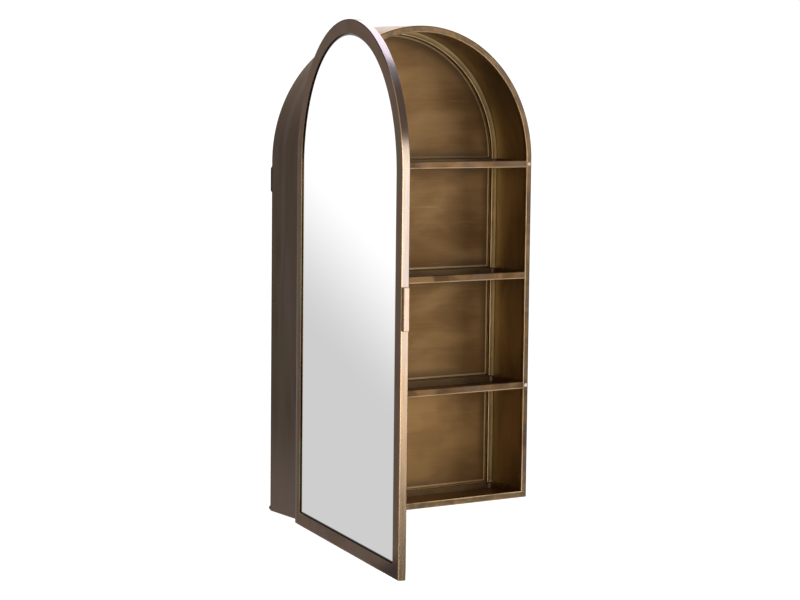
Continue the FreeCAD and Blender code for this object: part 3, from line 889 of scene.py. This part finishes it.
def back_finish():
    """Warm brushed fields with soft patches, painted shade near their borders and in the grooves, and painted
    highlights along the pressed edge and along the sides on the right.
    """
    warm_foot = (spring_z - 0.18, bottom_z + 0.07)
    shaded_border = (0.001, 0.022)
    pressed_line = (0.0, 0.0028)
    spring_line = (spring_z + field_reveal, 0.005)
    gleam_line = (0.0004, 0.0026)
    right_half = (0.0, 0.1)
    below_arch = (spring_z + 0.08, spring_z)
    within_levels = (-0.001, 0.001)
    level_groove = (-0.002, -0.001)
    side_groove = (-0.0028, -0.0018)
    material, paint = new_finish("field_brass")
    places = paint.places()
    x, z = paint.split(places)[::2]
    from_side, from_level = field_depths(paint, x, z)
    inside = paint.sum("MINIMUM", from_side, from_level)
    patches = paint.noise(paint.scaled(places, x=0.6), 12.0, roughness=0.45, distortion=0.3)
    smears = paint.noise(paint.scaled(places, x=0.2), 30.0, detail=4.0, roughness=0.6, distortion=0.5)
    scratches = paint.noise(paint.scaled(places, x=0.08), 150.0, detail=2.0)
    strokes = paint.noise(paint.scaled(places, x=0.04), 240.0, roughness=0.6)
    tone = paint.fade(patches * 0.66 + smears * 0.24 + strokes * 0.1, 0.38, 0.62)
    base = paint.blend(tone, field_dark, field_light)
    warm = paint.fade(z, *warm_foot, high=0.6) * paint.fade(tone, 0.0, 1.0, low=0.6)
    base = paint.blend(warm, base, field_warm)
    base = paint.blend(paint.fade(scratches, 0.66, 0.8, high=0.35), base, field_scratch)
    # Painted shade near the border of each field
    shade = paint.fade(inside, *shaded_border, low=0.55, high=0.0) * paint.fade(patches, 0.35, 0.6)
    base = paint.blend(shade, base, field_shade)
    # A painted highlight along the pressed edge, weaker at the spring
    edge_highlight = paint.line(inside, *pressed_line) * uneven(paint, strokes, 0.6, 1.0)
    edge_highlight = edge_highlight * (1 - paint.line(z, *spring_line) * 0.75)
    base = paint.blend(edge_highlight, base, edge_highlight_gold)
    # A painted highlight along the side edges of the right half, below the arch
    gleam = paint.line(from_side, *gleam_line) * paint.fade(x, *right_half)
    gleam = gleam * paint.fade(z, *below_arch) * paint.fade(from_level, *within_levels)
    base = paint.blend(gleam, base, field_gleam)
    # Painted shade in the grooves at the levels, and deeper in the side grooves
    base = painted_shade(paint, base, from_level, *level_groove, most=0.5)
    base = painted_shade(paint, base, from_side, *side_groove, most=0.9)
    paint.set(
        Base_Color=base,
        Metallic=1.0,
        Roughness=0.36 + smears * 0.1 + patches * 0.06,
        Specular_Tint=brass_edge,
        Normal=paint.bump(strokes * 0.7 + scratches * 0.3, strength=0.1, depth=0.0004),
    )
    return material


def pan_patina(paint, clouds, from_middle, y, below, well_shade):
    """Dark patina behind a band, with painted shade in the well, deepest towards its front, and pale painted
    highlights where the well's back meets its sides.
    """
    well_end = (well_back_y - 0.012, well_back_y + 0.002)
    well_side_line = (well_half - 0.001, 0.004)
    well_back_line = (well_back_y, 0.004)
    under_rim = (0.001, 0.002)
    patina = paint.blend(clouds, pan_dark, pan_light)
    # Painted shade in the well, deepest towards the front
    in_well = paint.fade(y, *well_end, low=well_shade, high=well_shade * 0.35)
    patina = paint.blend(in_well, patina, painted_shade_black)
    # A pale painted highlight where the well's back meets each side
    corner_highlight = paint.line(from_middle, *well_side_line) * paint.line(y, *well_back_line)
    corner_highlight = corner_highlight * paint.fade(below, *under_rim)
    return paint.blend(corner_highlight * 0.8, patina, pan_corner_highlight)


def pan_finish(name, top, well_shade):
    """Mottled brass on the band with a painted highlight along its lower edge and painted shade along its upper
    edge, and dark patina in the pan behind it.
    """
    lower_line = (band_height - 0.0009, 0.0019)
    upper_edge = (0.0002, 0.0014)
    behind_band = (frame_back_y - 0.0004, frame_back_y + 0.0004)
    pan_top = (0.0002, 0.0022)
    rim_highlight_line = (rim_half - 0.0004, 0.0016)
    material, paint = new_finish(name)
    places = paint.places()
    x, y, z = paint.split(places)
    from_middle = paint.sum("ABSOLUTE", x)
    below = top - z
    grain = paint.wire(paint.node("ShaderNodeCombineXYZ", None, {"X": z, "Y": y, "Z": x}))
    tone, clouds, strokes = brushed(
        paint, places, grain, band_dark, band_light, cloud_scale=12.0, stroke_share=0.35
    )
    tone = mottled(paint, places, tone, lilac_brown, scale=13.0, most=0.4)
    tone = mottled(paint, places, tone, orange_brown, scale=18.0, most=0.5)
    # A painted highlight, partly wear, along the band's lower edge
    worn_highlight = paint.line(below, *lower_line) * uneven(paint, strokes, 0.45, 0.9)
    tone = paint.blend(worn_highlight, tone, highlight_gold)
    # Painted shade along the band's upper edge
    tone = painted_shade(paint, tone, below, *upper_edge, most=0.45)
    in_pan = paint.fade(y, *behind_band)
    patina = pan_patina(paint, clouds, from_middle, y, below, well_shade)
    tone = paint.blend(in_pan * paint.fade(below, *pan_top, low=0.8, high=0.97), tone, patina)
    # A painted highlight along each side edge of the pan, at the wall
    rim_highlight = paint.line(from_middle, *rim_highlight_line) * in_pan * 0.8
    tone = paint.blend(rim_highlight, tone, highlight_gold)
    brass(paint, tone, clouds, strokes, grain, rough=0.3)
    return material


def door_face_tone(paint, places, across, grain):
    """The door's dark bronze face, darker towards the lower end of its free side, with a painted highlight along
    the hinge side and painted shade along its outer edge, and the clouds and strokes in it.
    """
    hinge_strip = (0.013 - half_width, 0.004 - half_width)
    hinge_foot = (spring_z, bottom_z + 0.2)
    outer_edge = (0.0004, 0.0026)
    dark_corner_width = 0.14
    dark_corner_height = 0.05
    dark_corner_border = (0.4, 1.2)
    x, z = paint.split(places)[::2]
    face, clouds, strokes = brushed(
        paint, places, grain, face_dark, face_light, cloud_scale=10.0, stroke_share=0.35
    )
    face = mottled(paint, places, face, face_rose, scale=17.0, most=0.7)
    face = mottled(paint, places, face, face_olive, scale=13.0, most=0.6)
    # A painted highlight along the rounded hinge side, stronger low down
    hinge_highlight = paint.fade(x, *hinge_strip, high=0.8) * paint.fade(z, *hinge_foot, low=0.25)
    face = paint.blend(hinge_highlight, face, face_hinge_highlight)
    # Painted shade along the outer edge
    face = painted_shade(paint, face, across, *outer_edge, most=0.6)
    # Darker towards the lower end of the free side
    dark_corner = (half_width - x) * (1 / dark_corner_width) + (z - bottom_z) * (1 / dark_corner_height)
    face = paint.blend(paint.fade(dark_corner, *dark_corner_border, low=0.92, high=0.0), face, face_dark_corner)
    return face, clouds, strokes


def door_edge_tone(paint, places, z, grain):
    """The door's outer edge: golden at the foot, cream higher up, violet and lilac round the arch, the lilac a
    heat tint that also paints the pale reflection of the light from above.
    """
    above_foot = (bottom_z + 0.236, bottom_z + 0.516)
    arch_start = (spring_z + 0.03, spring_z + 0.075)
    arch_top = (spring_z + 0.13, spring_z + 0.165)
    golden, clouds, strokes = brushed(
        paint, places, grain, edge_golden_dark, edge_golden_light, cloud_scale=9.0, stroke_share=0.65
    )
    stripes = paint.fade(strokes, 0.35, 0.65)
    cream = paint.blend(stripes, edge_cream_dark, edge_cream_light)
    cream = mottled(paint, places, cream, edge_cream_grey, scale=14.0, most=0.8)
    violet = paint.blend(clouds, edge_violet_dark, edge_violet_light)
    # The lilac at the arch's top is a heat tint that also paints the pale reflection of the light from above
    lilac = paint.blend(stripes, edge_lilac_dark, edge_lilac_light)
    tone = paint.blend(paint.fade(z, *above_foot), golden, cream)
    tone = paint.blend(paint.fade(z, *arch_start), tone, violet)
    return paint.blend(paint.fade(z, *arch_top), tone, lilac)


def door_lip(paint, places, across, clouds, on_edge, tone):
    """A tone with the lip over the glass: painted shade on its inner side, and a painted highlight along the hinge
    side.
    """
    hinge_side = (-half_width * 0.8, -half_width * 0.9)
    below_arch = (spring_z + 0.12, spring_z + 0.02)
    inner_side = (stile_width - 0.0004, stile_width - 0.0001)
    inner_edge = (stile_width - 0.0022, stile_width - 0.0008)
    lip_front = (door_front_y + 0.001, door_front_y + 0.0018)
    x, y, z = paint.split(places)
    # Painted shade on the lip's inner side
    tone = paint.blend(paint.fade(across, *inner_side) * on_edge, tone, painted_shade_black)
    # A painted highlight along the lip on the hinge side, below the arch and mostly at its front
    along_hinge = paint.fade(x, *hinge_side) * paint.fade(z, *below_arch)
    glint = paint.fade(across, *inner_edge) * along_hinge * uneven(paint, clouds, 0.45, 0.85)
    glint = glint * paint.fade(y, *lip_front, low=1.0, high=0.3)
    lip_highlight = paint.blend(paint.fade(clouds, 0.42, 0.58), lip_highlight_gold, lip_highlight_olive)
    return paint.blend(glint, tone, lip_highlight)


def door_finish():
    """Dark bronze face, a pale outer edge with wear and a painted highlight along its rounded front edge, and a
    lip with a painted highlight along the hinge side.
    """
    behind_face = (door_front_y + 0.0006, door_front_y + 0.0014)
    outer_corner = (0.001, 0.0016)
    corner_line = (door_front_y + 0.001, 0.0014)
    below_crown = (spring_z + 0.19, spring_z + 0.14)
    free_half = (0.0, 0.05)
    crown = (spring_z + 0.13, spring_z + 0.19)
    material, paint = new_finish("door_bronze")
    places = paint.shut_places()
    x, y, z = paint.split(places)
    across, grain = hoop_grain(paint, places)
    face, clouds, strokes = door_face_tone(paint, places, across, grain)
    on_edge = paint.fade(y, *behind_face)
    tone = paint.blend(on_edge, face, door_edge_tone(paint, places, z, grain))
    # A painted highlight on the rounded front edge of the outer side, over the free half and below the crown
    corner_highlight = paint.fade(across, *outer_corner, low=1.0, high=0.0) * paint.line(y, *corner_line)
    corner_highlight = corner_highlight * paint.fade(z, *below_crown, high=0.9) * paint.fade(x, *free_half)
    tone = paint.blend(corner_highlight, tone, corner_highlight_gold)
    tone = door_lip(paint, places, across, clouds, on_edge, tone)
    rough = 0.27 - on_edge * 0.12
    brass(paint, tone, clouds, strokes, grain, rough, edge_tint=dark_bronze_edge, relief=0.04)
    paint.set(Coat_Weight=on_edge * paint.fade(z, *crown, high=0.25), Coat_Roughness=0.12)
    return material


def mirror_finish():
    """Silvered glass with faint smears and a black border under the lip, painted shade of the recess, wider on the
    hinge half.
    """
    border_edge = (stile_width + 0.0028, stile_width + 0.0036)
    hinge_half = (0.0, -half_width * 0.85)
    wider_border = 0.002
    material, paint = new_finish("mirror_silver")
    places = paint.shut_places()
    x, z = paint.split(places)[::2]
    depth = half_width - arch_reach(paint, x, z)[0]
    depth = depth - paint.fade(x, *hinge_half) * wider_border
    across = paint.sum("MINIMUM", depth, z - bottom_z)
    smear = paint.noise(places, 6.0, detail=4.0, roughness=0.6, distortion=1.5)
    # The black border paints the shade of the recess under the lip and its reflection
    paint.set(
        Base_Color=painted_shade(paint, silver, across, *border_edge, most=0.95),
        Metallic=1.0,
        Roughness=paint.fade(smear, 0.5, 0.8, low=0.012, high=0.03),
    )
    return material


def small_metal(name, tone, rough):
    """A small turned, cast or pressed metal piece with fine grain and faint stains."""
    material, paint = new_finish(name)
    places = paint.places()
    grain = paint.noise(places, 700.0, roughness=0.6)
    stains = paint.noise(places, 60.0)
    paint.set(
        Base_Color=paint.blend(paint.fade(stains, 0.35, 0.7), darker(tone, 0.65), tone),
        Metallic=1.0,
        Roughness=rough + grain * 0.15,
        Normal=paint.bump(grain, strength=0.15, depth=0.0002),
    )
    return material


def dull(name, tone, rough, tooth_scale, tooth_depth, metallic=0.0):
    """A matte finish with a fine tooth: paint, rubber, board, tape or weld metal."""
    material, paint = new_finish(name)
    places = paint.places()
    tooth = paint.noise(places, tooth_scale, roughness=0.6)
    clouds = paint.noise(places, tooth_scale / 30)
    paint.set(
        Base_Color=paint.blend(paint.fade(clouds, 0.35, 0.65), darker(tone, 0.7), tone),
        Metallic=metallic,
        Roughness=rough + tooth * 0.12,
        Normal=paint.bump(tooth, strength=0.4, depth=tooth_depth),
    )
    return material


def plain_brushed(name, dark, light, cloud_scale, stroke_share, rough):
    """Brushed metal of one tone all over, for a piece of the door."""
    material, paint = new_finish(name)
    places = paint.shut_places()
    tone, clouds, strokes = brushed(paint, places, places, dark, light, cloud_scale, stroke_share)
    brass(paint, tone, clouds, strokes, places, rough)
    return material


def cover_finish():
    """Plain dark bronze sheet on the back of the door."""
    return plain_brushed("cover_bronze", cover_dark, cover_light, 8.0, 0.35, rough=0.34)


def pull_finish():
    """Pale brass, worn by hands."""
    return plain_brushed("pull_brass", pull_dark, pull_light, 30.0, 0.5, rough=0.18)


def put_on(piece, finish):
    """Give a piece one finish all over."""
    piece.data.materials.clear()
    piece.data.materials.append(finish)


def dress_nodes():
    """Give every construction node the finish of its material slot, or its own."""
    # A dull finish is given its roughness, the scale and depth of its tooth and how metallic it is
    by_slot = {
        "patina_metal": cover_finish(),
        "inner_metal": back_finish(),
        "mirror": mirror_finish(),
        "dark_tape": dull("dark_tape_finish", tape_black, 0.5, 900.0, 0.0001),
        "board": dull("board_finish", board_brown, 0.8, 500.0, 0.0003),
        "steel": small_metal("screw_steel", screw_grey, 0.3),
        "black_steel": dull("black_steel_finish", hanger_black, 0.35, 800.0, 0.0001, 0.3),
        "magnet": small_metal("magnet_nickel", magnet_silver, 0.3),
        "rubber": dull("rubber_finish", rubber_black, 0.65, 700.0, 0.0002),
    }
    own = {"edge_pull": pull_finish()}
    for part in frame["record"]["subparts"]:
        node = frame["nodes"][part["node"]]
        put_on(node, own.get(part["node"], by_slot[part["material_slot"]]))


def build_cabinet():
    """Model the bent bars, sheets, pans and weld beads, and give each its finish."""
    put_on(front_hoop(), front_hoop_finish())
    put_on(wrap(), wrap_finish())
    put_on(rear_hoop(), rear_hoop_finish())
    put_on(door_hoop(), door_finish())
    put_on(floor_pan(), pan_finish("floor_pan_brass", floor_top, well_shade=0.2))
    for name in shelf_names:
        put_on(shelf(name), pan_finish(name + "_brass", shelf_tops[name], well_shade=0.4))
    weld = dull("weld_metal", weld_pale, 0.45, 600.0, 0.0002, 0.4)
    levels = dict(shelf_tops, floor=floor_top)
    for level, z in levels.items():
        for side_name, side in (("left", -1), ("right", 1)):
            put_on(weld_bead("weld_bead_" + level + "_" + side_name, side, z), weld)


dress_nodes()
build_cabinet()


# Studio and camera


def plain_floor():
    """A pale floor well below the hanging cabinet."""
    clear_selection()
    place = (0, 0, bottom_z - floor_drop)
    bpy.ops.mesh.primitive_circle_add(
        vertices=arch_steps, radius=floor_radius, fill_type="NGON", location=place
    )
    floor = bpy.context.active_object
    floor.name = "studio_floor"
    material, paint = new_finish("studio_floor_white")
    paint.set(
        Base_Color=floor_white,
        Roughness=floor_roughness,
        Specular_IOR_Level=floor_gloss,
        Emission_Color=white,
        Emission_Strength=floor_glow,
    )
    put_on(floor, material)


def softbox(name, place, target, size, brightness, tint):
    """A rectangular area light that faces a target, of an even brightness."""
    lamp = bpy.data.lights.new(name, "AREA")
    lamp.shape = "RECTANGLE"
    lamp.size, lamp.size_y = size
    lamp.energy = brightness * math.pi * size[0] * size[1]
    lamp.color = tint
    holder = bpy.data.objects.new(name, lamp)
    bpy.context.scene.collection.objects.link(holder)
    holder.location = place
    holder.rotation_euler = (Vector(target) - Vector(place)).to_track_quat("-Z", "Y").to_euler()


def studio_world():
    """White to look at, and a soft room to reflect: a pale wall behind that greys to the lower left."""
    world = bpy.data.worlds.new("studio_world")
    bpy.context.scene.world = world
    world.use_nodes = True
    paint = Paint(world.node_tree, "Background")
    x, y, z = paint.split(paint.wire(paint.node("ShaderNodeTexCoord"), "Generated"))
    # How far a direction lies above the line where the pale wall behind turns grey
    rise = z - (wall_line_height + wall_line_slope * x)
    wall = paint.fade(rise, -wall_line_blur, wall_line_blur, wall_grey, wall_white)
    behind = paint.fade(y, *wall_behind)
    left_dim = paint.fade(x, *left_side, low=left_grey)
    glow = behind * paint.fade(z, *glow_heights, high=upper_right_glow) * paint.fade(x, *glow_side)
    room = room_grey + behind * (wall * left_dim - room_grey)
    room = room + paint.fade(z, *ceiling_heights, high=ceiling_glow) + glow
    seen = paint.wire(paint.node("ShaderNodeLightPath"), "Is Camera Ray")
    paint.set(Color=white, Strength=room + seen * (backdrop_white - room))


def place_camera():
    """A camera at the photograph's place."""
    lens = bpy.data.cameras.new("camera")
    lens.lens = camera_lens
    lens.sensor_width = camera_sensor
    camera = bpy.data.objects.new("camera", lens)
    bpy.context.scene.collection.objects.link(camera)
    turn = Matrix.Rotation(-math.radians(camera_yaw), 4, "Z")
    tilt = Matrix.Rotation(math.pi / 2 + math.radians(camera_pitch), 4, "X")
    roll = Matrix.Rotation(math.radians(camera_roll), 4, "Z")
    camera.matrix_world = Matrix.Translation(camera_place) @ turn @ tilt @ roll
    bpy.context.scene.camera = camera


plain_floor()
studio_world()
for softbox_name, setup in softboxes.items():
    softbox(softbox_name, *setup)
place_camera()
bpy.context.scene.view_settings.view_transform = "Standard"
